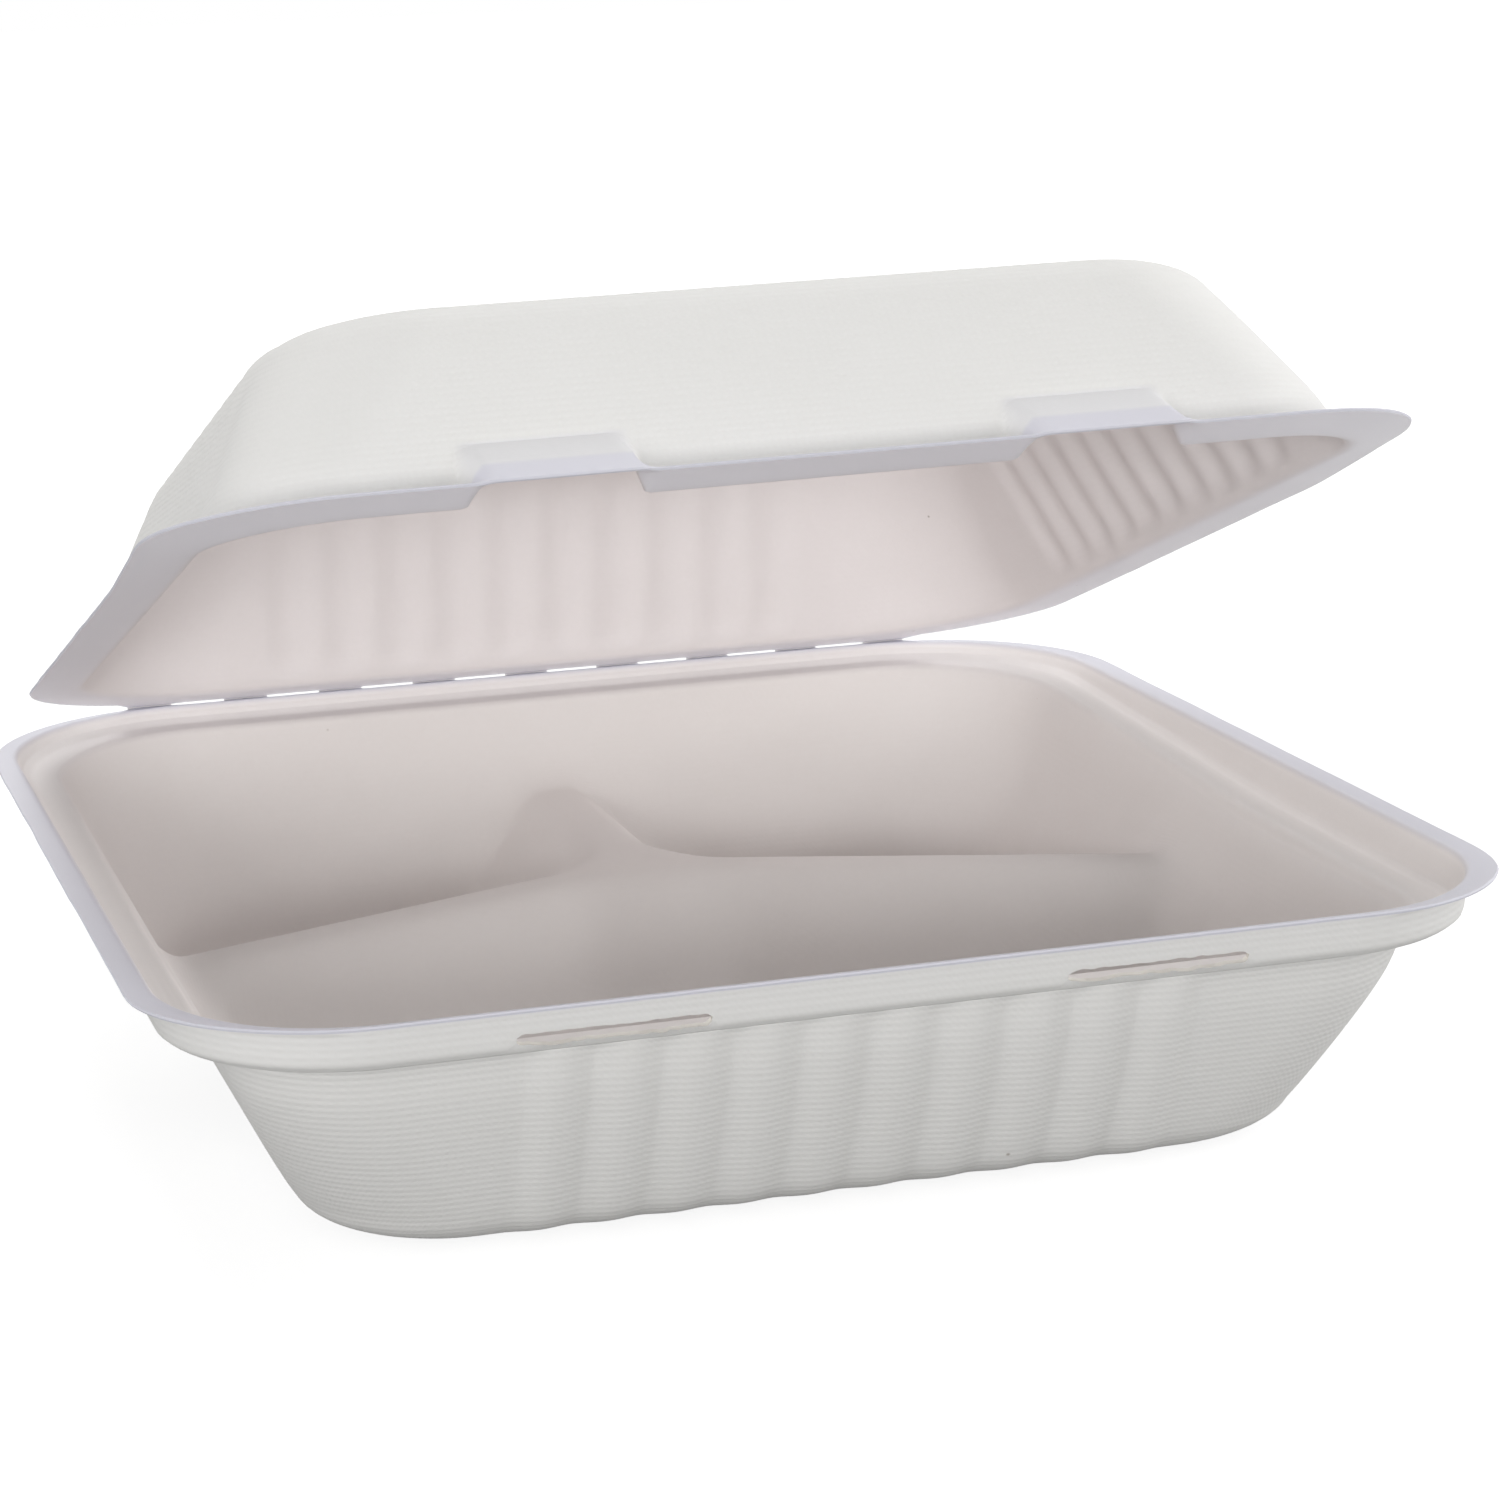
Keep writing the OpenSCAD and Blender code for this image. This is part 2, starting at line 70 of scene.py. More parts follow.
# %% Sizes that the frame gives
MM = 0.001
hinge = np.array(frame["joints"][0]["pos_m"]) / MM
tray_low, tray_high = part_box("base_tray")
HALF_W = (tray_high.x - tray_low.x) / MM / 2
HALF_D = hinge[1]
RIM_Z = hinge[2] - 0.05
SHEET = 0.9
print(f"tray {2 * HALF_W:.1f} x {2 * HALF_D:.1f} mm, rim at {RIM_Z:.1f} mm, sheet {SHEET} mm")

# %% [markdown]
# ## Shaping helpers
#
# A moulded shell has no hard change anywhere, so three small helpers do most of the rounding:
# `ease` fades a feature in, `smooth_max` lets one surface grow out of another, and
# `smooth_rows` draws a curve through a few profile rows without overshooting them. A plain
# spline would bulge where a flat rim turns down, and this one keeps flats flat.

# %% Rounding helpers
def ease(u):
    c = np.clip(u, 0, 1)
    return c * c * (3 - 2 * c)


def smooth_max(a, b, width):
    h = np.maximum(width - np.abs(a - b), 0) / width
    return np.maximum(a, b) + h * h * width / 4


def smooth_rows(rows, samples):
    rows = np.array(rows, float)
    step = np.diff(rows, axis=0)
    before, after = step[:-1], step[1:]
    same_way = before * after > 0
    slope = np.vstack([step[:1], np.zeros_like(before), step[-1:]])
    slope[1:-1][same_way] = (2 * before * after)[same_way] / (before + after)[same_way]
    parts = []
    for i, count in enumerate(samples):
        t = np.linspace(0, 1, count, endpoint=False)[:, None]
        parts.append((2 * t**3 - 3 * t**2 + 1) * rows[i] + (3 * t**2 - 2 * t**3) * rows[i + 1]
                     + (t**3 - 2 * t**2 + t) * slope[i] + (t**3 - t**2) * slope[i + 1])
    return np.vstack(parts + [rows[-1:]])


print("ease at a quarter:", ease(0.25))

# %% [markdown]
# ## Rings
#
# Both shells are stacks of rounded rectangles, as seen from above. Every ring has the same
# number of points in the same order, so the rings join up into a grid. A wall may name
# stations that its points must hit, such as the ends of a slot. `ring_grid` works on all the
# rings at once: its first five arguments are arrays with one number for each ring.

# %% Ring grid
FRONT, RIGHT, BACK, LEFT, CORNER = range(5)
CORNER_POINTS = 20


def wall_points(lo, hi, stations, counts):
    reach = np.minimum(1, 0.97 * hi / stations[-1]) if len(stations) else np.ones_like(hi)
    edges = [lo] + [reach * s for s in stations] + [hi]
    parts = [edges[i][:, None] + (edges[i + 1] - edges[i])[:, None] * np.arange(n) / n
             for i, n in enumerate(counts)]
    return np.hstack(parts + [hi[:, None]])


def ring_grid(side, front, back, r, r_back, plan):
    x0 = wall_points(r - side, side - r, plan["front"][0], plan["front"][1])
    y1 = wall_points(front + r, back - r_back, [], [plan["side"]])
    x2 = wall_points(r_back - side, side - r_back, plan["back"][0], plan["back"][1])[:, ::-1]
    turn = np.radians(90 * np.arange(1, CORNER_POINTS) / CORNER_POINTS)
    s, c = np.sin(turn), np.cos(turn)
    side, front, back, r, r_back = (v[:, None] for v in (side, front, back, r, r_back))
    flat = np.ones_like
    xs = [x0, side - r + r * s, side * flat(y1), side - r_back + r_back * c, x2,
          r_back - side - r_back * s, -side * flat(y1), r - side - r * c]
    ys = [front * flat(x0), front + r - r * c, y1, back - r_back + r_back * s, back * flat(x2),
          back - r_back + r_back * c, y1[:, ::-1], front + r - r * s]
    names = [FRONT, CORNER, RIGHT, CORNER, BACK, CORNER, LEFT, CORNER]
    wall = np.concatenate([[name] * x.shape[1] for name, x in zip(names, xs)])
    return np.hstack(xs), np.hstack(ys), wall


# %% [markdown]
# ## Flutes and fold webs
#
# Flutes stiffen a thin wall. Each is a shallow bulge with a cosine section. The fold has eight
# cuts, and the nine webs between them reach from each shell to the fold's axis.

# %% Flutes and webs
FLUTES = 10
FLUTE_PITCH, SIDE_PITCH, FLUTE_DEPTH, RIB_DEPTH, FLUTE_FULLNESS = 11.4, 12.0, 1.35, 1.15, 0.85
CUTS, CUT_PITCH, CUT_LEN, EDGE_GAP = 8, 19.8, 11.0, 0.9
WEB_LEN = CUT_PITCH - CUT_LEN


def flute(u, pitch):
    half = FLUTES * pitch / 2
    wave = (1 - np.cos(2 * np.pi * (u + half) / pitch)) / 2
    return np.where(np.abs(u) > half, 0, wave**FLUTE_FULLNESS)


web_middles = (np.arange(CUTS + 1) - CUTS / 2) * CUT_PITCH
STEP = 0.06              # a web's corner turns within this length
web_edges = np.sort(np.concatenate([web_middles[1:-1] - WEB_LEN / 2, web_middles[1:-1] + WEB_LEN / 2]))
web_stations = np.sort(np.concatenate([web_edges - STEP, web_edges + STEP]))
WEB_POINTS, CUT_POINTS, END_POINTS = 6, 5, 4
web_counts = [1 if i % 2 == 0 else (CUT_POINTS if i % 4 == 1 else WEB_POINTS)
              for i in range(len(web_stations) - 1)]
web_counts = [END_POINTS] + web_counts + [END_POINTS]


def on_web(x):
    nearest = np.abs(x[..., None] - web_middles).min(-1)
    return nearest < WEB_LEN / 2


print(len(web_middles), "webs,", len(web_stations), "stations along the fold")

# %% [markdown]
# ## From rings to a sheet
#
# A ring grid is only the food side of the sheet. The other side is the same grid moved along
# its normals by the sheet's thickness, which keeps the wall even round every bend. Only the rim
# is thinner, because the press squeezes it harder. The cut edge between the two sides gets a
# middle row that stands out a little, so it catches light as a soft trimmed edge.
#
# Texture coordinates follow the sheet in millimetres: round the box, and down the profile.
# Each wall has a quarter of the way round. A quarter holds a whole number of wires, so the
# weave meets itself where the last wall ends.

# %% Skins
WIRE_U, WIRE_V = 1.25, 1.28
WIRES_IN_QUARTER = 144
QUARTER = WIRES_IN_QUARTER * WIRE_U
WRAP = 4 * QUARTER


def normals(p):
    along = np.roll(p, -1, axis=1) - np.roll(p, 1, axis=1)
    down = np.gradient(p, axis=0)
    n = np.cross(along, down)
    return n / np.maximum(np.linalg.norm(n, axis=2, keepdims=True), 1e-9)


def around(x, y, wall, quarter):
    """Distance round the sheet: x or y along a wall, spread evenly round a corner."""
    u = np.select([wall == FRONT, wall == RIGHT, wall == BACK, wall == LEFT],
                  [x, quarter + y, 2 * quarter - x, 3 * quarter - y], 0.0)
    for run in np.split(np.flatnonzero(wall == CORNER), 4):
        before, after = u[:, run[0] - 1], u[:, (run[-1] + 1) % len(wall)]
        after = np.where(after < before, after + 4 * quarter, after)
        share = np.arange(1, len(run) + 1) / (len(run) + 1)
        u[:, run] = before[:, None] + (after - before)[:, None] * share
    return u


def sheet_place(food, u):
    """Sheet coordinates in millimetres: round and down the walls, then flat over the middle."""
    middle = np.abs(u[0]).argmin()
    down = np.linalg.norm(np.diff(food[: len(u), middle], axis=0), axis=1)
    v = np.concatenate([[0], np.cumsum(down)])[:, None] + 0 * u
    return np.concatenate([np.dstack([u, v]), food[len(u):, :, :2]])


FOOD, SCREEN, TRIM = range(3)
EDGE_BULGE, RIM_PRESS = 0.2, 0.35


def sheet_mesh(name, food, place, press_and_sheen, holes, materials):
    """A closed sheet from its food-side grid; holes is a mask of quads to leave out."""
    rows, n, _ = food.shape
    outer = food - normals(food) * SHEET * (1 - RIM_PRESS * press_and_sheen[..., None])
    rim_way = food[:1] - food[1:2]
    rim_way /= np.linalg.norm(rim_way, axis=2, keepdims=True)
    middle = (food[:1] + outer[:1]) / 2 + rim_way * EDGE_BULGE
    grids = np.concatenate([food, outer])
    uv = np.concatenate([place, place]).reshape(-1, 2)
    uv = np.vstack([uv, place[0]])
    press_and_sheen = np.concatenate([press_and_sheen.ravel(), press_and_sheen.ravel(), press_and_sheen[0]])
    points = np.concatenate([grids.reshape(-1, 3), middle.reshape(-1, 3)])
    i, j = np.meshgrid(np.arange(rows - 1), np.arange(n), indexing="ij")
    k = (j + 1) % n
    keep = ~holes
    inner_quads = np.stack([i * n + j, i * n + k, (i + 1) * n + k, (i + 1) * n + j], -1)
    outer_quads = inner_quads[..., ::-1] + rows * n
    quads = [inner_quads[keep], outer_quads[keep]]
    edge = 2 * rows * n
    a, b = np.arange(n), (np.arange(n) + 1) % n
    quads.append(np.stack([b, a, edge + a, edge + b], -1))
    quads.append(np.stack([edge + b, edge + a, rows * n + a, rows * n + b], -1))
    kinds = [FOOD] * len(quads[0]) + [SCREEN] * len(quads[1]) + [TRIM] * (2 * n)
    walls = hole_walls(holes, rows, n)
    if len(walls):
        quads.append(walls)
        kinds += [TRIM] * len(walls)
    tips = [(rows - 1) * n + np.arange(n), rows * n + (rows - 1) * n + np.arange(n)[::-1]]
    return build(name, points, np.concatenate(quads), tips, kinds, uv, press_and_sheen, materials)


# %% [markdown]
# A catch slot is a hole through both skins. Where a quad is left out and its neighbour is kept,
# a small wall joins the food side to the outer side, so the sheet stays closed all round.

# %% Hole walls and mesh building
def hole_walls(holes, rows, n):
    found = []
    for i, j in np.argwhere(holes):
        k = (j + 1) % n
        here = [(i, j), (i, k), (i + 1, k), (i + 1, j)]
        beside = [(i - 1, j), (i, k), (i + 1, j), (i, (j - 1) % n)]
        for side, (p, q) in enumerate(zip(here, here[1:] + here[:1])):
            r, c = beside[side]
            if not holes[r, c]:
                a, b = p[0] * n + p[1], q[0] * n + q[1]
                found.append([a, b, b + rows * n, a + rows * n])
    return np.array(found)


def build(name, points, quads, tips, kinds, uv, press_and_sheen, materials):
    faces = quads.tolist() + [t.tolist() for t in tips]
    kinds = list(kinds) + [FOOD, SCREEN][: len(tips)]
    mesh = bpy.data.meshes.new(name)
    mesh.from_pydata((points * MM).tolist(), [], faces)
    mesh.polygons.foreach_set("material_index", kinds)
    mesh.polygons.foreach_set("use_smooth", [True] * len(faces))
    if uv is not None:
        corners = uv[quads]
        seam = corners[:, :, 0] < corners[:, :, :1].max(axis=1) - WRAP / 2
        corners[:, :, 0] += WRAP * seam
        loops = [corners.reshape(-1, 2)] + [uv[t] for t in tips]
        layer = mesh.uv_layers.new(name="sheet_mm")
        layer.data.foreach_set("uv", np.vstack(loops).ravel())
    mark = mesh.attributes.new("press_and_sheen", "FLOAT", "POINT")
    mark.data.foreach_set("value", press_and_sheen)
    mesh.set_sharp_from_angle(angle=math.radians(48))
    obj = bpy.data.objects.new(name, mesh)
    bpy.context.scene.collection.objects.link(obj)
    for m in materials:
        mesh.materials.append(m)
    mesh.calc_loop_triangles()
    print(f"{name}: {len(mesh.vertices)} points, {len(mesh.loop_triangles)} triangles")
    return obj


# %% [markdown]
# ## Pulp
#
# Bagasse pulp is a warm white. The pressed food side is smooth with faint cloudy mottling. The
# side that lay on the wire screen keeps the imprint of the weave, about 1.3 mm from wire to
# wire. Both hold the odd dark scrap of cane fibre. The pressed rims are smoother, and their
# colour is painted light: a cool lavender sheen on the tray's rim and a pale cool highlight on
# the lid's flange. One function makes all four finishes, so they stay one family. The weave is
# worked out with sines from the sheet's own coordinates, since an image would tie it to one
# camera.

# %% Node helpers
def add(tree, kind, **settings):
    node = tree.nodes.new(kind)
    for key, value in settings.items():
        setattr(node, key, value)
    return node


def math_node(tree, operation, a, b=None, c=None):
    node = add(tree, "ShaderNodeMath", operation=operation)
    for socket, value in zip(node.inputs, (a, b, c)):
        if isinstance(value, bpy.types.NodeSocket):
            tree.links.new(value, socket)
        elif value is not None:
            socket.default_value = value
    return node.outputs[0]


def noise(tree, place, scale, detail, roughness=0.5):
    node = add(tree, "ShaderNodeTexNoise")
    tree.links.new(place, node.inputs["Vector"])
    node.inputs["Scale"].default_value = scale
    node.inputs["Detail"].default_value = detail
    node.inputs["Roughness"].default_value = roughness
    return node.outputs["Fac"]


def mix_colour(tree, share, a, b):
    node = add(tree, "ShaderNodeMix", data_type="RGBA")
    sockets = [node.inputs[0], node.inputs[6], node.inputs[7]]
    for socket, value in zip(sockets, (share, a, b)):
        if isinstance(value, bpy.types.NodeSocket):
            tree.links.new(value, socket)
        else:
            socket.default_value = value
    return node.outputs[2]


def srgb(r, g, b):
    return [((v / 255 + 0.055) / 1.055) ** 2.4 for v in (r, g, b)] + [1]


# %% Pulp finishes
def weave(tree):
    uv = tree.nodes.new("ShaderNodeUVMap")
    uv.uv_map = "sheet_mm"
    split = tree.nodes.new("ShaderNodeSeparateXYZ")
    tree.links.new(uv.outputs[0], split.inputs[0])
    across = math_node(tree, "SINE", math_node(tree, "MULTIPLY", split.outputs[0], 2 * math.pi / WIRE_U))
    down = math_node(tree, "SINE", math_node(tree, "MULTIPLY", split.outputs[1], 2 * math.pi / WIRE_V))
    return math_node(tree, "MULTIPLY", down, math_node(tree, "MULTIPLY_ADD", across, 0.55, 1.0))


def specks(tree, place, cell, share, size):
    """Dark scraps: one in some cells of a Voronoi pattern, with the cell's own chance."""
    dots = add(tree, "ShaderNodeTexVoronoi", feature="F1")
    tree.links.new(place, dots.inputs["Vector"])
    dots.inputs["Scale"].default_value = 1 / (cell * MM)
    chance = tree.nodes.new("ShaderNodeSeparateColor")
    tree.links.new(dots.outputs["Color"], chance.inputs[0])
    picked = math_node(tree, "LESS_THAN", chance.outputs[0], share)
    radius = math_node(tree, "MULTIPLY", chance.outputs[1], size / cell)
    inside = math_node(tree, "SUBTRACT", 1.0, math_node(tree, "DIVIDE", dots.outputs["Distance"], radius))
    return math_node(tree, "MULTIPLY", picked, math_node(tree, "MAXIMUM", inside, 0.0))


def pulp(name, light, dark, rim, roughness, screen, grain):
    mat = bpy.data.materials.new(name)
    mat.use_nodes = True
    tree = mat.node_tree
    skin = tree.nodes["Principled BSDF"]
    place = tree.nodes.new("ShaderNodeTexCoord").outputs["Object"]
    mark = tree.nodes.new("ShaderNodeAttribute")
    mark.attribute_name = "press_and_sheen"
    press_and_sheen = mark.outputs["Fac"]
    clouds = noise(tree, place, 55, 3)
    fibres = noise(tree, place, 900, 4, 0.7)
    tone = math_node(tree, "MULTIPLY_ADD", fibres, 0.5, math_node(tree, "MULTIPLY", clouds, 0.5))
    colour = mix_colour(tree, tone, srgb(*dark), srgb(*light))
    # the pressed rows take the rim colour, a painted cool sheen that stands in for light
    colour = mix_colour(tree, press_and_sheen, colour, srgb(*rim))
    scraps = math_node(tree, "MULTIPLY", specks(tree, place, 9, 0.2, 0.6), 0.8)
    colour = mix_colour(tree, scraps, colour, srgb(120, 100, 78))
    tree.links.new(colour, skin.inputs["Base Color"])
    rough = math_node(tree, "MULTIPLY_ADD", clouds, 0.12, roughness - 0.06)
    rough = math_node(tree, "MULTIPLY_ADD", press_and_sheen, -0.15, rough)
    tree.links.new(rough, skin.inputs["Roughness"])
    height = math_node(tree, "MULTIPLY", fibres, grain)
    unpressed = math_node(tree, "SUBTRACT", 1.0, press_and_sheen)
    imprint = math_node(tree, "MULTIPLY", weave(tree), math_node(tree, "MULTIPLY", unpressed, screen))
    bump = tree.nodes.new("ShaderNodeBump")
    bump.inputs["Distance"].default_value = MM
    tree.links.new(math_node(tree, "ADD", imprint, height), bump.inputs["Height"])
    tree.links.new(bump.outputs[0], skin.inputs["Normal"])
    return mat


# painted sheen: the tray rim's cool lavender and the lid flange's pale cool highlight stand in for light
TRAY_RIM_PAINTED_SHEEN, LID_RIM_PAINTED_SHEEN = (214, 213, 222), (248, 246, 252)
tray_food_side = pulp("pulp_tray_food_side", (247, 243, 241), (240, 235, 232), TRAY_RIM_PAINTED_SHEEN, 0.6, 0.004, 0.02)
lid_food_side = pulp("pulp_lid_food_side", (246, 241, 241), (239, 233, 232), LID_RIM_PAINTED_SHEEN, 0.6, 0.004, 0.02)
screen_side = pulp("pulp_screen_side", (238, 237, 235), (230, 229, 226), TRAY_RIM_PAINTED_SHEEN, 0.8, 0.021, 0.03)
cut_edge = pulp("pulp_cut_edge", (243, 240, 233), (232, 228, 220), TRAY_RIM_PAINTED_SHEEN, 0.85, 0, 0.06)
finishes = [tray_food_side, lid_food_side, screen_side, cut_edge]
print("finishes:", [m.name for m in finishes])

# %% [markdown]
# ## Tray profile
#
# Seen in section, the tray starts at its trimmed rim, turns down a short collar, runs in along
# a ledge that carries the lid, and falls down a sloping wall to the floor. The rows below are
# that section: insets at the sides, the front and the back, the depth below the rim, how much
# of the ledge's own depth is added, the corner radius and the share of the flutes. The ledge
# rises towards the fold, so it is a function of its own.

# %% Tray profile
RIM_W, BEND, COLLAR_LEAN, COLLAR_FOOT = 3.4, 1.3, 0.9, 1.6
LEDGE_FRONT, LEDGE_BACK, LEDGE_W, LEDGE_TURN = 7.6, 3.4, 4.0, 2.0
RIM_R, RIM_R_BACK, FLOOR_R, FOOT_R = 33.0, 39.0, 19.0, 12.0
WALL_DROP, FLUTE_TOP = 1.8, 15.0
draft = math.radians(25)
ledge_in = RIM_W + BEND + COLLAR_LEAN + COLLAR_FOOT
ledge_in_back = EDGE_GAP + 0.5 + 1.2 + COLLAR_FOOT
wall_in = ledge_in + LEDGE_W + LEDGE_TURN
wall_in_back = ledge_in_back + LEDGE_W + LEDGE_TURN
floor_depth = RIM_Z - SHEET


def ledge_at(y):
    u = np.clip((y + 20) / (HALF_D + 8), 0, 1)
    return LEDGE_FRONT + (LEDGE_BACK - LEDGE_FRONT) * u


def rim_row(inset, inset_back, depth, on_ledge, r):
    return [inset, inset, inset_back, depth, on_ledge, RIM_R - r, 0]


wall_start = np.array([ledge_at(0.0), LEDGE_FRONT, LEDGE_BACK]) + WALL_DROP
wall_inset = np.array([wall_in, wall_in, wall_in_back])


def wall_row(depth, r, flutes):
    return [*(wall_inset + (depth - wall_start) * math.tan(draft)), depth, 0, r, flutes]


def foot_row(angle, flutes):
    r, a = FOOT_R - SHEET, math.radians(angle)
    top = floor_depth - r + r * math.sin(draft)
    insets = wall_inset + (top - wall_start) * math.tan(draft) + r * (math.cos(draft) - math.cos(a))
    return [*insets, floor_depth - r + r * math.sin(a), 0, FLOOR_R + (90 - angle) / 15, flutes]


# %% [markdown]
# The slots lie between two rows of the collar, so those rows are given by their depth at the
# front. The numbers beside the rows say how many rings the curve gets before the next row.

# %% Tray rings
SLOT_X, SLOT_LEN, SLOT_H, SLOT_Z = 44.8, 31.0, 1.9, 5.6
collar_top, collar_end = BEND, LEDGE_FRONT - 1.0
slot_top = (SLOT_Z - SLOT_H / 2 - collar_top) / (collar_end - collar_top)
tray_profile = [
    (rim_row(0, EDGE_GAP, 0, 0, 0), 2),
    (rim_row(0.7 * RIM_W, EDGE_GAP + 0.35, 0, 0, 1.2), 2),
    (rim_row(RIM_W, EDGE_GAP + 0.5, 0, 0, 1.5), 3),
    (rim_row(RIM_W + 0.7 * BEND, EDGE_GAP + 0.8, 0.4, 0, 2.2), 3),
    (rim_row(RIM_W + BEND, EDGE_GAP + 1.1, BEND, 0, 2.7), 3),
    (rim_row(RIM_W + BEND + slot_top * COLLAR_LEAN, EDGE_GAP + 1.1 + 0.6 * slot_top,
             BEND * (1 - slot_top) - slot_top, slot_top, 2.7 + 0.8 * slot_top), 2),
    (rim_row(ledge_in - COLLAR_FOOT, ledge_in_back - COLLAR_FOOT, -1, 1, 3.5), 3),
    (rim_row(ledge_in - 0.4 * COLLAR_FOOT, ledge_in_back - 0.4 * COLLAR_FOOT, -0.25, 1, 4), 2),
    (rim_row(ledge_in + 0.2, ledge_in_back + 0.2, 0, 1, 4.5), 3),
    (rim_row(ledge_in + LEDGE_W, ledge_in_back + LEDGE_W, 0, 1, 7), 3),
    (rim_row(wall_in - 0.8, wall_in_back - 0.8, 0.5, 1, 8), 3),
    (rim_row(wall_in, wall_in_back, WALL_DROP, 1, 8.6), 6),
    (wall_row(FLUTE_TOP, RIM_R - 11, 1), 14)]
foot_angles = np.linspace(25, 90, 5)
tray_profile += [(foot_row(a, f), 3) for a, f in zip(foot_angles, (1, 1, 0.9, 0.5, 0))]
tray_rows = smooth_rows([row for row, _ in tray_profile], [n for _, n in tray_profile[:-1]])
slot_rows = [sum(n for _, n in tray_profile[:5]), sum(n for _, n in tray_profile[:6])]
print(len(tray_rows), "rings down to the floor, slots between rings", slot_rows)

# %% [markdown]
# ## Dividers
#
# Three crests meet behind the middle: two run to the side walls and one to the fold. Each is a
# rounded ridge, and `smooth_max` grows it out of the floor and the walls, as the wet sheet does
# where it bridges two walls of the mould. It works on the distances too, so that the corners of
# the compartments are round as seen from above. Where an arm meets a wall, it flares: the blend
# is wide low down, and fades before it reaches the top of the wall.

# %% Divider ridges
CREST_H, CREST_R, RIDGE_SLOPE, BLEND, FLARE, FORK = 27.0, 8.0, 1.5, 9.0, 25.0, 14.0
FLARE_FROM = 12.0        # below this height of an arm's flank the flare has its full size
FLARE_GROWTH = 0.9       # how fast the blend widens with the height of the wall
crossing = np.array([0.0, 35.5])
arm_ends = [np.array([-HALF_W, -8.0]), np.array([HALF_W, -8.0]), np.array([0.0, HALF_D])]
wall_top_z = RIM_Z - LEDGE_FRONT - WALL_DROP


def gap_to_arm(x, y, end):
    along = end - crossing
    px, py = x - crossing[0], y - crossing[1]
    share = np.clip((px * along[0] + py * along[1]) / (along @ along), 0, 1)
    return np.hypot(px - share * along[0], py - share * along[1])


def grown(z, x, y):
    """Height of the sheet where dividers grow out of a floor or wall of height z."""
    left, right, back = (gap_to_arm(x, y, end) for end in arm_ends)
    gap = np.maximum(-smooth_max(smooth_max(-left, -right, FORK), -back, FORK), 0)
    crest = CREST_H - RIDGE_SLOPE * (np.cbrt(gap**3 + CREST_R**3) - CREST_R)
    top_flare = wall_top_z - CREST_H - 0.5
    flare = FLARE + (top_flare - FLARE) * ease((crest - FLARE_FROM) / (CREST_H - FLARE_FROM))
    return smooth_max(z, crest, np.minimum(flare, BLEND + FLARE_GROWTH * np.maximum(z - SHEET, 0)))


# %% Tray grid
RIM_LEAN, LEAN_PIVOT = 0.9, 0.55    # the front rim falls inwards by this much, about this share
LEDGE_RINGS, FLOOR_RINGS = 12, 35   # the dividers start below the ledge
SEAM_SHARE = 0.9995      # a hair-wide ring where the sheet coordinates change from wall to floor
slot_ends = [-SLOT_X - SLOT_LEN / 2, -SLOT_X + SLOT_LEN / 2, SLOT_X - SLOT_LEN / 2, SLOT_X + SLOT_LEN / 2]
tray_plan = {"front": (slot_ends, [14, 42, 50, 42, 14]), "side": 78,
             "back": (list(web_stations), web_counts)}
side, front, back, depth, on_ledge, r, flutes = tray_rows.T
r_back = r + (RIM_R_BACK - RIM_R) * (1 - depth.clip(0) / RIM_Z)
tx, ty, tray_wall = ring_grid(HALF_W - side, front - HALF_D, HALF_D - back, r, r_back, tray_plan)
tz = RIM_Z - depth[:, None] - on_ledge[:, None] * ledge_at(ty)
lean = RIM_LEAN * (np.clip(side / RIM_W, 0, 1) - LEAN_PIVOT)
lean *= np.clip(1 - depth / BEND, 0, 1) * (on_ledge == 0)
tz = tz - lean[:, None] * ease((-ty / HALF_D - 0.75) / 0.2)
ty = ty - np.where(tray_wall == FRONT, FLUTE_DEPTH * flutes[:, None] * flute(tx, FLUTE_PITCH), 0)
on_wall = np.arange(len(tray_rows))[:, None] > slot_rows[1] + LEDGE_RINGS
tz = np.where(on_wall, grown(tz, tx, ty), tz)

tray_u = around(tx, ty, tray_wall, QUARTER)
floor_shares = np.concatenate([[SEAM_SHARE], np.linspace(1, 0, FLOOR_RINGS)[1:-1]])[:, None]
fx = crossing[0] + floor_shares * (tx[-1] - crossing[0])
fy = crossing[1] + floor_shares * (ty[-1] - crossing[1])
fz = grown(np.full_like(fx, SHEET), fx, fy)
tray_food = np.dstack([np.vstack([tx, fx]), np.vstack([ty, fy]), np.vstack([tz, fz])])
print("tray grid:", tray_food.shape)

# %% [markdown]
# ## Torn slots and trimmed edges
#
# The slots are punched and tear a little, so their long edges wander by a few tenths of a
# millimetre. The trimmed outline wanders too, but less. Smoothed random numbers with a fixed
# seed give both, and the same every time.

# %% Slots and edges
SLOT_END, SLOT_SQUARE = 0.35, 30    # height of a slot's end as a share, and how square it is
TORN_TOP, TORN_FOOT, EDGE_WANDER = 0.16, 0.3, 0.12
rng = np.random.default_rng(11)


def wander(n, amount, smooth):
    raw = rng.normal(size=n)
    kernel = np.hanning(smooth + 2)[1:-1]
    line = np.convolve(np.tile(raw, 3), kernel, mode="same")[n:2 * n]
    return amount * line / max(np.abs(line).max(), 1e-9)


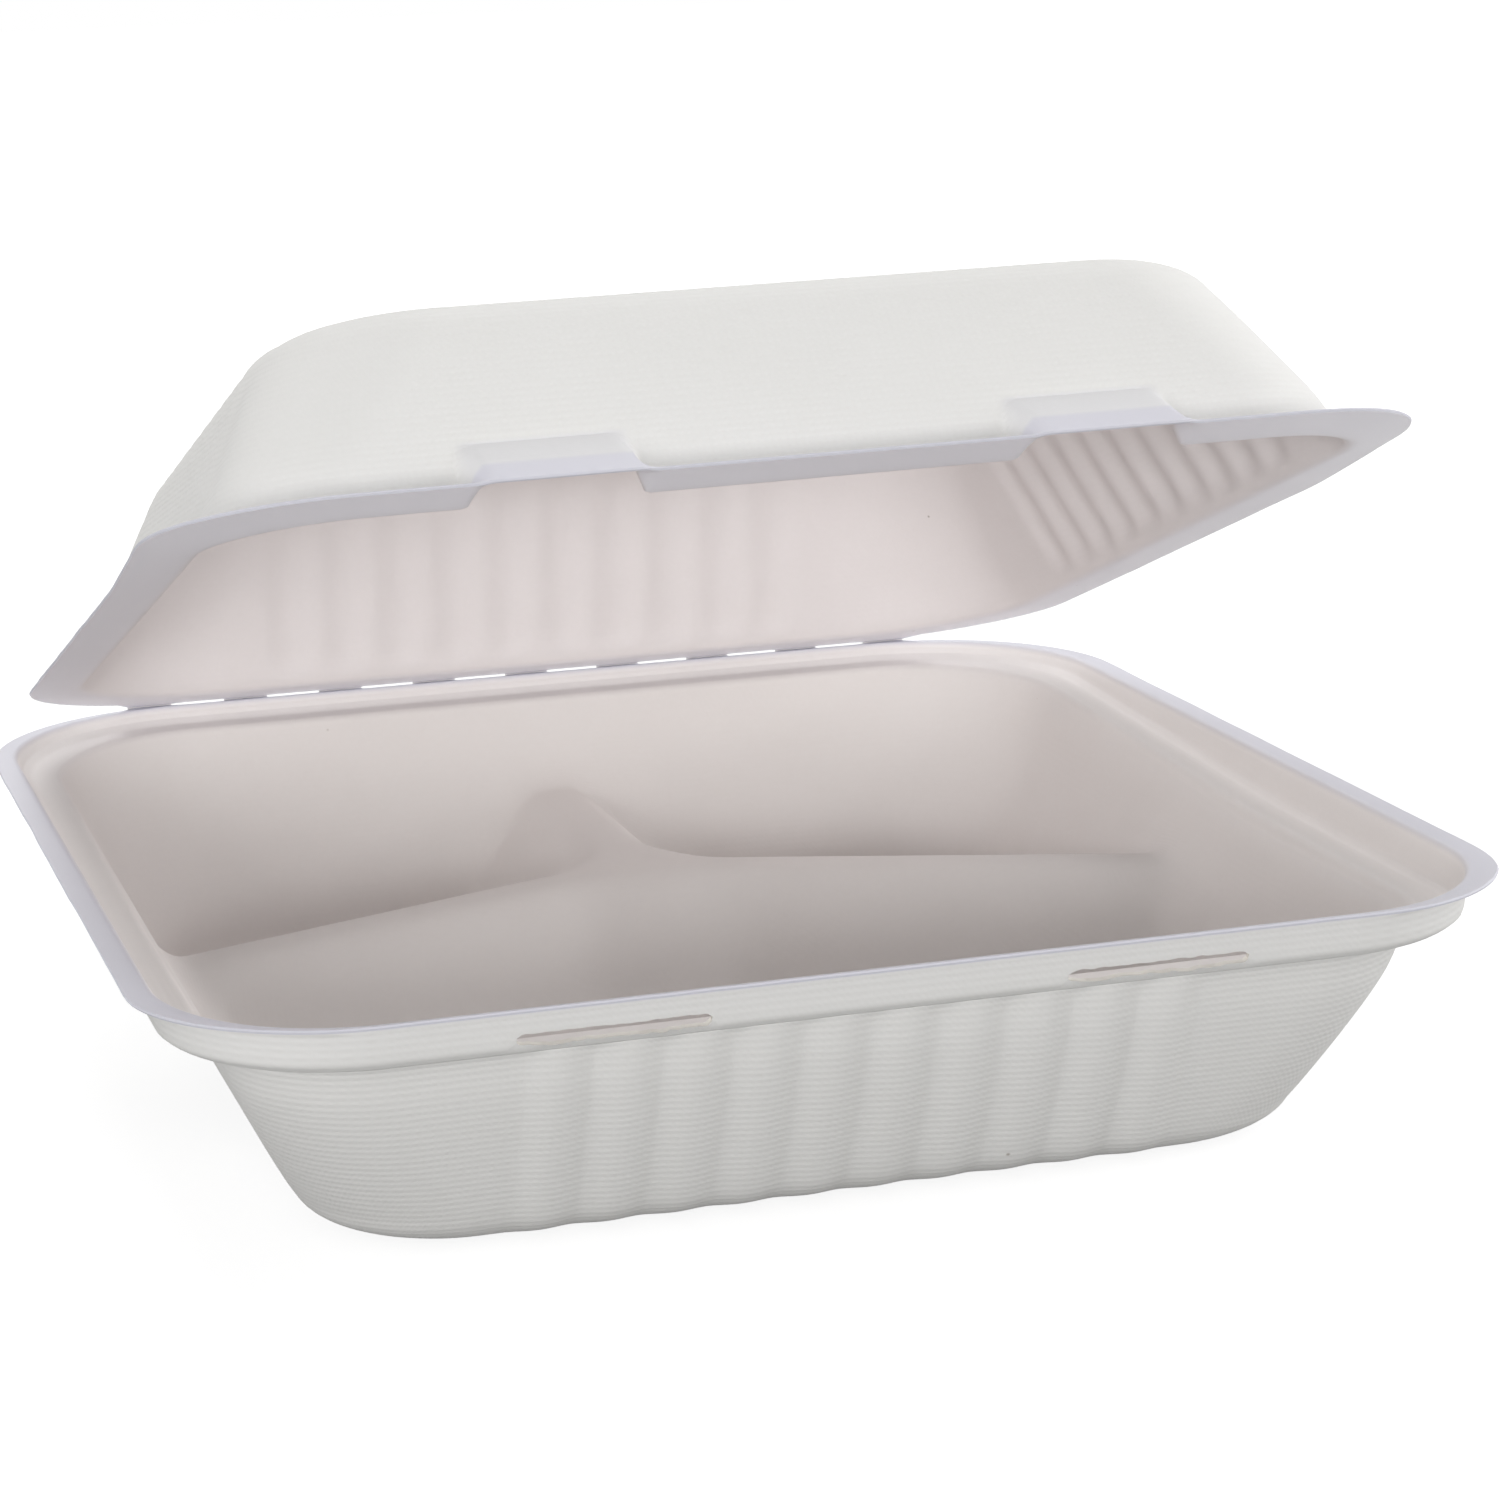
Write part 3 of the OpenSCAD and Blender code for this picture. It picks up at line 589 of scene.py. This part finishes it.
n = tray_food.shape[1]
line_x = tray_food[slot_rows[0], :, 0]
slot_holes = np.zeros((tray_food.shape[0] - 1, n), bool)
for sign in (-1, 1):
    u = (line_x - sign * SLOT_X) / (SLOT_LEN / 2)
    inside = (tray_wall == FRONT) & (np.abs(u) < 1.001)
    columns = np.flatnonzero(inside)
    shape = np.maximum(np.sqrt(np.clip(1 - np.abs(u[columns]) ** SLOT_SQUARE, 0, 1)), SLOT_END)
    middle = RIM_Z - SLOT_Z
    reach_up = SLOT_H / 2 + wander(len(columns), TORN_TOP, 3)
    reach_down = SLOT_H / 2 + wander(len(columns), TORN_FOOT, 3)
    tray_food[slot_rows[0], columns, 2] = middle + shape * reach_up
    tray_food[slot_rows[1], columns, 2] = middle - shape * reach_down
    slot_holes[slot_rows[0]:slot_rows[1], columns[:-1]] = True
    for ring in range(slot_rows[0] + 1, slot_rows[1]):
        share = (ring - slot_rows[0]) / (slot_rows[1] - slot_rows[0])
        tray_food[ring, columns, 2] = ((1 - share) * tray_food[slot_rows[0], columns, 2]
                                       + share * tray_food[slot_rows[1], columns, 2])


WEB_STOP = EDGE_BULGE + 0.05        # a shell's webs end here, so that the two edges clear


def trim(food, middle_y, fold_y):
    """Lets the trimmed edge wander, and runs its webs out to the fold's axis."""
    out = food[0, :, :2] - [0, middle_y]
    out /= np.linalg.norm(out, axis=1, keepdims=True)
    web = (np.abs(food[0, :, 1] - fold_y) < 5) & on_web(food[0, :, 0])
    food[0, :, :2] += out * (wander(food.shape[1], EDGE_WANDER, 9) * ~web)[:, None]
    food[0, web, 1] = fold_y - WEB_STOP


trim(tray_food, 0, HALF_D)
# the rim rows are pressed smooth and thin, and take the painted rim sheen; both fade out over the first
# ten rings
tray_press_and_sheen = np.zeros(tray_food.shape[:2])
tray_press_and_sheen[:10] = 1 - ease((np.arange(10) - 4) / 6)[:, None]
tray_shell = sheet_mesh("tray_shell", tray_food, sheet_place(tray_food, tray_u), tray_press_and_sheen, slot_holes,
                        [tray_food_side, screen_side, cut_edge])

# %% [markdown]
# ## Lid
#
# The lid is a dome on a flange. It is drawn level, with the fold on the X axis, and then turned
# to the angle at which it stands in the frame. At the front the flange tilts up to its edge, and
# two pockets fold that edge down the wall into tongues for the slots. The lid has dried with a
# slight twist, so its right front corner stands a little higher than its left one.

# %% Lid profile
LID_W, LID_D, LID_H, FLANGE_W = 214.0, 229.0, 37.0, 9.5
LID_R, LID_R_BACK, TOP_R, TOP_TURN_R = 30.0, 38.0, 19.0, 13.0
LIP_RISE, LID_OPEN, LID_LIFT, LID_TWIST = 2.1, 19.2, 0.05, 1.3
SIDE_SHIFT = 8.5
POCKET_LEN, POCKET_SIDE, POCKET_H, TONGUE_REACH = 26.0, 3.0, 10.5, 1.2
lid_draft = math.radians(26)
TURN_R = 3.0


def lid_turn(g):
    return np.array([FLANGE_W - 1.4 + TURN_R * math.sin(g), TURN_R - TURN_R * math.cos(g)])


turn_end = lid_turn(math.pi / 2 - lid_draft)


def lid_wall_row(z, r, flutes):
    return [turn_end[0] + (z - turn_end[1]) * math.tan(lid_draft), z, r, flutes]


def lid_top_row(angle, flutes):
    a, r = math.radians(angle), TOP_TURN_R - SHEET
    top = LID_H - SHEET
    start = lid_wall_row(top - r + r * math.sin(lid_draft), 0, 0)[0]
    inset = start + r * (math.cos(lid_draft) - math.cos(a))
    return [inset, top - r + r * math.sin(a), TOP_R + (90 - angle) / 15, flutes]


lid_profile = [
    ([0, 0, LID_R, 0], 2), ([4, 0, LID_R - 2.5, 0], 2), ([FLANGE_W - 1.4, 0, LID_R - 5, 0], 3),
    ([*lid_turn(0.55), LID_R - 6, 0], 3), ([*turn_end, LID_R - 7, 0], 3),
    (lid_wall_row(6, LID_R - 9, 1), 4), (lid_wall_row(POCKET_H, LID_R - 10, 1), 11)]
lid_profile += [(lid_top_row(a, f), 3) for a, f in zip(np.linspace(26, 90, 5), (1, 1, 0.9, 0.5, 0))]
lid_rows = smooth_rows([row for row, _ in lid_profile], [n for _, n in lid_profile[:-1]])
pocket_row = sum(n for _, n in lid_profile[:6])
print(len(lid_rows), "rings up to the top, pockets end at ring", pocket_row)

# %% Lid grid
inset, height, r, flutes = (v[:, None] for v in lid_rows.T)
r_back = r + (LID_R_BACK - LID_R) * (1 - height / LID_H)
POCKET_HALF = 15
pocket_ends = [-SLOT_X - POCKET_HALF, -SLOT_X + POCKET_HALF, SLOT_X - POCKET_HALF, SLOT_X + POCKET_HALF]
lid_plan = {"front": (pocket_ends, [12, 34, 40, 34, 12]), "side": 112,
            "back": (list(web_stations), [n + (n > 1) * 4 for n in web_counts])}
lid_rings = (LID_W / 2 - inset, inset - LID_D, -EDGE_GAP - inset, r, r_back)
lx, ly, lid_wall = ring_grid(*(v[:, 0] for v in lid_rings), lid_plan)
side_middle = -LID_D / 2 - SIDE_SHIFT
on_side = (lid_wall == RIGHT) | (lid_wall == LEFT)
bulge = RIB_DEPTH * flutes
lz = height + LID_LIFT + 0 * lx
lift = LIP_RISE * ease((-ly / LID_D - 0.7) / 0.24)
lz = lz + lift * np.clip(1 - inset / FLANGE_W, 0, 1)
lx = lx + np.where(on_side, np.sign(lx) * bulge * flute(ly - side_middle, SIDE_PITCH), 0)
ly = ly + np.where(lid_wall == BACK, bulge * flute(lx, FLUTE_PITCH), 0)
lid_u = around(lx, ly + LID_D / 2, lid_wall, QUARTER)
print("lid grid:", lx.shape)

# %% [markdown]
# A pocket takes the same rings as the flange beside it, but spreads them over a straight face
# from the lip up to the wall. The share of each ring is its distance along the profile, so the
# points stay evenly spaced and the sheet keeps its thickness.

# %% Pockets and top
steps = np.hypot(np.diff(lid_rows[:, 0]), np.diff(lid_rows[:, 1]))
travel = np.concatenate([[0], np.cumsum(steps)])
face = np.clip(travel / travel[pocket_row], 0, 1)[:, None]
lip_y, lip_z = -LID_D - TONGUE_REACH, LIP_RISE + LID_LIFT
wall_y, wall_z = lid_rows[pocket_row, 0] - LID_D, POCKET_H + LID_LIFT
half_pocket = (POCKET_LEN + POCKET_SIDE) / 2
# a pocket's face also takes a third of the flange's painted sheen, a pale cool highlight
POCKET_PRESS_AND_SHEEN = 0.35      # a pocket's face is pressed a third as smooth as the rim
pocket = ease((half_pocket - np.abs(np.abs(lx) - SLOT_X)) / POCKET_SIDE)
pocket = np.where((lid_wall == FRONT) & (np.arange(len(lid_rows))[:, None] <= pocket_row), pocket, 0)
ly = ly + pocket * (lip_y + face * (wall_y - lip_y) - ly)
lz = lz + pocket * (lip_z + face * (wall_z - lip_z) - lz)

top_shares = np.concatenate([[SEAM_SHARE], np.linspace(1, 0, 21)[1:-1]])[:, None]
middle_y = -LID_D / 2
lid_food = np.dstack([np.vstack([lx, top_shares * lx[-1]]),
                      np.vstack([ly, middle_y + top_shares * (ly[-1] - middle_y)]),
                      np.vstack([lz, lz[-1] + 0 * top_shares])])
trim(lid_food, -LID_D / 2, 0)
# the flange rows are pressed smooth and carry the painted flange sheen, and the pocket faces carry part
# of it
lid_press_and_sheen = np.zeros(lid_food.shape[:2])
lid_press_and_sheen[:9] = 1 - ease((np.arange(9) - 3) / 6)[:, None]
lid_press_and_sheen[: len(pocket)] = np.maximum(lid_press_and_sheen[: len(pocket)], POCKET_PRESS_AND_SHEEN * pocket)
lid_place = sheet_place(lid_food, lid_u)

# %% [markdown]
# The dome has the sheet on its far side: its food side is the hollow one, and it faces down.
# The grid's order is reversed for the lid, so that the outer skin again lies outside.

# %% Turn the lid to its place
lid_food[..., 2] += LID_TWIST * (lid_food[..., 0] / (LID_W / 2)) * ease(-lid_food[..., 1] / LID_D)
opened = math.radians(LID_OPEN)
level_y, level_z = lid_food[..., 1].copy(), lid_food[..., 2].copy()
lid_food[..., 1] = HALF_D + level_y * math.cos(opened) + level_z * math.sin(opened)
lid_food[..., 2] = hinge[2] - level_y * math.sin(opened) + level_z * math.cos(opened)
lid_food, lid_place, lid_press_and_sheen = (grid[:, ::-1] for grid in (lid_food, lid_place, lid_press_and_sheen))
no_holes = np.zeros((lid_food.shape[0] - 1, lid_food.shape[1]), bool)
lid_shell = sheet_mesh("lid_shell", lid_food, lid_place, lid_press_and_sheen, no_holes,
                       [lid_food_side, screen_side, cut_edge])

# %% [markdown]
# ## Fold webs
#
# The uncut stretches of the fold bend round its axis. Each is an arc of sheet from the underside
# of the tray's rim to the outside of the lid's flange. All nine are one piece, drawn for the
# angle at which the lid stands in the frame.

# %% Fold webs
ARC_POINTS, WEB_WIDTH_POINTS = 12, 5
R_OUT, R_IN = SHEET + 0.05, 0.12
# the webs also take this share of the tray rim's painted sheen
WEB_PRESS_AND_SHEEN = 0.3        # a web is pressed a little smoother than a wall
arc = np.radians(np.linspace(-90, 90 - LID_OPEN, ARC_POINTS))
section = np.vstack([np.column_stack([R_OUT * np.cos(arc), R_OUT * np.sin(arc)]),
                     np.column_stack([R_IN * np.cos(arc), R_IN * np.sin(arc)])[::-1]])
points, quads = [], []
m = len(section)
for middle in web_middles:
    base = len(points)
    xs = middle + np.linspace(-1, 1, WEB_WIDTH_POINTS) * WEB_LEN / 2
    points += [[x, hinge[1] + y, hinge[2] + z] for x in xs for y, z in section]
    for a in range(WEB_WIDTH_POINTS - 1):
        p = base + a * m
        quads += [[p + i, p + (i + 1) % m, p + m + (i + 1) % m, p + m + i] for i in range(m)]
strip = np.array([[a, a + 1, m - 2 - a, m - 1 - a] for a in range(ARC_POINTS - 1)])
for k in range(len(web_middles)):
    first = k * WEB_WIDTH_POINTS * m
    last = first + (WEB_WIDTH_POINTS - 1) * m
    quads += (strip[:, ::-1] + first).tolist() + (strip + last).tolist()
fold_webs = build("fold_webs", np.array(points), np.array(quads), [], [FOOD] * len(quads), None,
                  np.full(len(points), WEB_PRESS_AND_SHEEN), [tray_food_side])

# %% [markdown]
# ## Bodies
#
# The shells ride on their bodies and stand for the frame's plain ones.

# %% Ride and replace
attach(tray_shell, "tray")
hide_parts("base_tray")
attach(lid_shell, "lid")
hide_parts("lid")
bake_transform(fold_webs)

# %% [markdown]
# ## Studio
#
# The box stands on a white floor between soft boxes: low strips at the front and both sides, which
# shine into the open box, and weaker ones above, behind and higher up. The floor glows for the
# camera and for reflections only, up to plain white, and keeps the box's soft shadow.

# %% Floor
GLOW, GLOW_RISE, FLOOR_GREY = 0.84, 0.12, 0.3    # the glow rises with the distance in metres


def seen_rays(tree):
    rays = tree.nodes.new("ShaderNodeLightPath").outputs
    mirrored = math_node(tree, "MAXIMUM", rays["Is Glossy Ray"], rays["Is Transmission Ray"])
    return math_node(tree, "MAXIMUM", rays["Is Camera Ray"], mirrored)


bpy.ops.mesh.primitive_plane_add(size=8, location=(0, 0, 0))
floor = bpy.context.object
floor.name = "studio_floor"
floor_mat = bpy.data.materials.new("studio_floor_white")
floor_mat.use_nodes = True
tree = floor_mat.node_tree
tree.nodes.clear()
matt = tree.nodes.new("ShaderNodeBsdfDiffuse")
matt.inputs["Color"].default_value = (FLOOR_GREY, FLOOR_GREY, FLOOR_GREY, 1)
glow = tree.nodes.new("ShaderNodeEmission")
spot = tree.nodes.new("ShaderNodeTexCoord").outputs["Object"]
reach = tree.nodes.new("ShaderNodeVectorMath")
reach.operation = "LENGTH"
tree.links.new(spot, reach.inputs[0])
level = math_node(tree, "MULTIPLY_ADD", reach.outputs["Value"], GLOW_RISE, GLOW)
level = math_node(tree, "MINIMUM", level, 1.0)
tree.links.new(math_node(tree, "MULTIPLY", seen_rays(tree), level), glow.inputs["Strength"])
both = tree.nodes.new("ShaderNodeAddShader")
tree.links.new(matt.outputs[0], both.inputs[0])
tree.links.new(glow.outputs[0], both.inputs[1])
end = tree.nodes.new("ShaderNodeOutputMaterial")
tree.links.new(both.outputs[0], end.inputs[0])
floor.data.materials.append(floor_mat)

print("floor glow", GLOW, "rising", GLOW_RISE, "a metre")

# %% World and soft boxes
world = bpy.data.worlds.new("studio_world")
bpy.context.scene.world = world
world.use_nodes = True
tree = world.node_tree
sky = tree.nodes["Background"]
WORLD_LEVEL = 0.22
strength = math_node(tree, "MULTIPLY_ADD", seen_rays(tree), 1 - WORLD_LEVEL, WORLD_LEVEL)
tree.links.new(strength, sky.inputs["Strength"])
sky.inputs["Color"].default_value = (1, 1, 1, 1)


def soft_box(name, azimuth, elevation, tall, watts):
    """A soft box that looks at the meal box from azimuth degrees right of the front."""
    turn, rise = math.radians(azimuth), math.radians(elevation)
    way = Vector((math.sin(turn) * math.cos(rise), -math.cos(turn) * math.cos(rise), math.sin(rise)))
    lamp = bpy.data.lights.new(name, "AREA")
    lamp.shape, lamp.size, lamp.size_y, lamp.energy = "RECTANGLE", SOFT_BOX_WIDE, tall, watts
    obj = bpy.data.objects.new(name, lamp)
    bpy.context.scene.collection.objects.link(obj)
    obj.location = way * SOFT_BOX_GAP + Vector((0, 0, 0.08))
    obj.rotation_euler = (-way).to_track_quat("-Z", "Y").to_euler()
    obj.visible_camera = False


SOFT_BOX_WIDE, SOFT_BOX_GAP = 1.3, 2.0
soft_box("front_strip", -15, 6.5, 0.5, 20.8)
soft_box("left_strip", -90, 7, 0.5, 6)
soft_box("left_box", -90, 25, 1.0, 3)
soft_box("right_strip", 90, 7, 0.5, 12.5)
soft_box("right_box", 90, 25, 1.0, 13)
soft_box("back_box", 180, 40, 1.0, 14)
soft_box("top_box", 0, 89, 1.0, 9)
print("soft boxes:", len(bpy.data.lights))

# %% [markdown]
# ## Camera
#
# The camera's place and angles come from the rim, the flange, the fold and the slots as they lie
# in the 1500 by 1500 frame. It stands to the left and looks down a little with a long lens.

# %% Camera
FRAME_PX, FOCAL_PX, SENSOR = 1500, 3955.0, 36.0
YAW, PITCH, ROLL = math.radians(16.993), math.radians(13.283), math.radians(-1.49)
camera_place = np.array([-192.6, -671.2, RIM_Z + 173.6]) * MM
camera_data = bpy.data.cameras.new("camera")
camera_data.sensor_width = SENSOR
camera_data.lens = FOCAL_PX / FRAME_PX * SENSOR
camera = bpy.data.objects.new("camera", camera_data)
bpy.context.scene.collection.objects.link(camera)
ahead = np.array([math.sin(YAW) * math.cos(PITCH), math.cos(YAW) * math.cos(PITCH), -math.sin(PITCH)])
level = np.array([math.cos(YAW), -math.sin(YAW), 0])
above = np.cross(level, ahead)
right = math.cos(ROLL) * level + math.sin(ROLL) * above
up = -math.sin(ROLL) * level + math.cos(ROLL) * above
turned = np.column_stack([right, up, -ahead, camera_place])
camera.matrix_world = Matrix([list(row) for row in turned] + [[0, 0, 0, 1]])
camera_data.clip_start, camera_data.clip_end = 0.01, 50
bpy.context.scene.camera = camera
bpy.context.scene.view_settings.view_transform = "Standard"
print("lens", round(camera_data.lens, 1), "mm")
